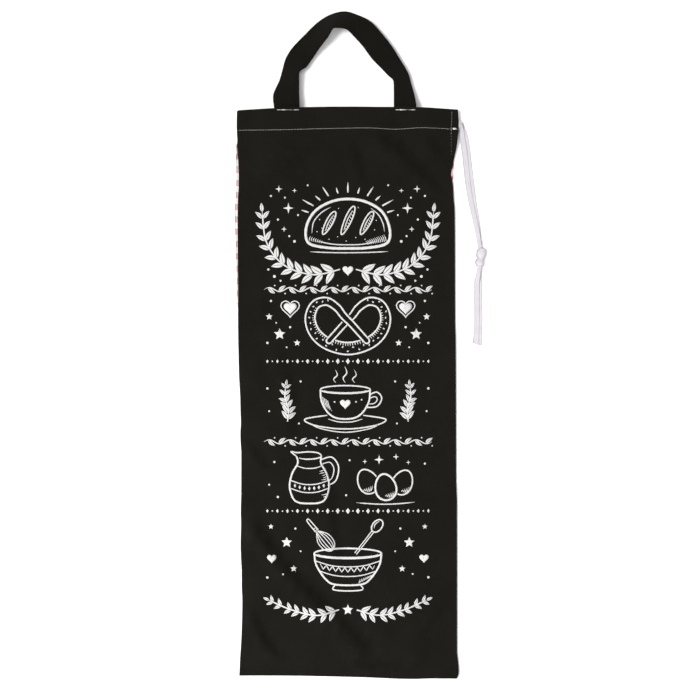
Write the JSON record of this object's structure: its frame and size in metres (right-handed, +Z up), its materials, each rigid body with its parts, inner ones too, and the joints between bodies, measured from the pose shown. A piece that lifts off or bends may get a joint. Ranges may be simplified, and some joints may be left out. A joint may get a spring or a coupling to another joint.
{
  "type": "drawstring bread bag",
  "caption": "Long flat cloth bag for a loaf, empty and lying on its back, with a casing and drawstring at its mouth, a slit beside it and a flat strap handle.",
  "frame": {"origin": "on the surface that the bag lies on, at the middle of the length and width of bag and handle", "axes": "+X to the right across the bag, +Y along it towards its mouth and handle, +Z up from the surface"},
  "size_m": [0.2863, 0.7638, 0.0161],
  "materials": {
    "black_cloth": "matte",
    "checked_cloth": "matte",
    "white_tape": "matte",
    "white_print": "matte",
    "white_thread": "matte"
  },
  "bodies": {
    "root": {"front_panel": "black_cloth", "back_panel": "checked_cloth", "handle": "black_cloth", "drawstring_in_casing": "white_tape", "drawstring_end_front": "white_tape", "drawstring_end_back": "white_tape", "drawstring_knot": "white_tape", "drawstring_tail_left": "white_tape", "drawstring_tail_right": "white_tape"}
  },
  "joints": []
}
